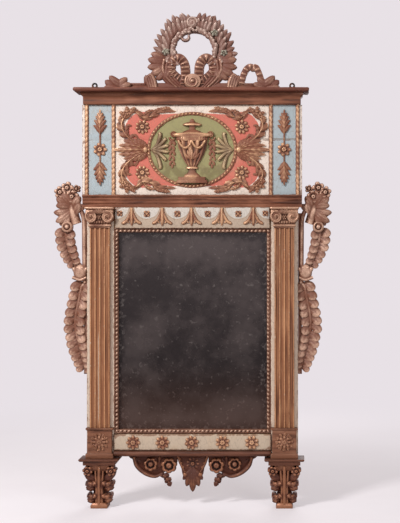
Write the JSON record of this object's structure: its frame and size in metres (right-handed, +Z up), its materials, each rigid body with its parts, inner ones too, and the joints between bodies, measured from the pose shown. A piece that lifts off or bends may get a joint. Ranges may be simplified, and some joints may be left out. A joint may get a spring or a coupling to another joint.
{
  "type": "trumeau mirror",
  "caption": "Tall neoclassical trumeau mirror with fluted pilasters, a painted urn panel above the glass, a wreath crest, side garlands and carved bracket feet.",
  "frame": {"origin": "on the floor under the middle of the mirror's bounding box", "axes": "+Z up, +X to the viewer's right, the glass faces -Y and the flat back faces +Y"},
  "size_m": [1.1228, 0.11, 1.988],
  "materials": {
    "old_softwood": "bare old softwood, sawn and oxidised brown",
    "painted_ground": "aged matt lacquer on gesso, cream with blue, red and green fields, stained and chipped",
    "worn_gilding": "carved wood with worn gilding over brown-red bole",
    "stained_moulding": "brown stained and waxed moulding, worn at the edges",
    "aged_mirror": "old silvered glass, darkened and foxed",
    "wrought_iron": "hand-forged iron, dark and rusty"
  },
  "bodies": {
    "root": {"stile_left": "old_softwood", "stile_right": "old_softwood", "bottom_rail": "old_softwood", "middle_rail": "old_softwood", "top_rail": "old_softwood", "tenon_pegs": "old_softwood", "foot_tongues": "old_softwood", "glass_backboards": "old_softwood", "glass_blocks": "old_softwood", "panel_board_lower": "painted_ground", "panel_board_upper": "painted_ground", "frieze_board": "painted_ground", "lower_frieze_board": "painted_ground", "sight_beading": "worn_gilding", "twist_outer_left": "worn_gilding", "twist_inner_left": "worn_gilding", "twist_inner_right": "worn_gilding", "twist_outer_right": "worn_gilding", "oval_frame": "worn_gilding", "urn_relief": "worn_gilding", "palm_sprays": "worn_gilding", "rinceau_left": "worn_gilding", "rinceau_right": "worn_gilding", "field_rosettes": "worn_gilding", "side_drop_left": "worn_gilding", "side_drop_right": "worn_gilding", "frieze_pendants": "worn_gilding", "frieze_florets": "worn_gilding", "frieze_rosettes": "worn_gilding", "capital_left": "worn_gilding", "capital_right": "worn_gilding", "pedestal_rosettes": "worn_gilding", "foot_left": "worn_gilding", "foot_right": "worn_gilding", "apron_pendant": "worn_gilding", "apron_swag_left": "worn_gilding", "apron_swag_right": "worn_gilding", "crest_base": "worn_gilding", "crest_bow": "worn_gilding", "crest_wreath": "worn_gilding", "crest_ribbon_arch": "worn_gilding", "garland_bracket_left": "worn_gilding", "garland_bracket_right": "worn_gilding", "garland_drop_left": "worn_gilding", "garland_drop_right": "worn_gilding", "cornice_fascia": "stained_moulding", "cornice_crown": "stained_moulding", "architrave": "stained_moulding", "base_moulding": "stained_moulding", "pilaster_left": "stained_moulding", "pilaster_right": "stained_moulding", "pedestal_left": "stained_moulding", "pedestal_right": "stained_moulding", "shelf_left": "stained_moulding", "shelf_right": "stained_moulding", "mirror_glass": "aged_mirror", "hanging_straps": "wrought_iron", "strap_nails": "wrought_iron"}
  },
  "joints": []
}
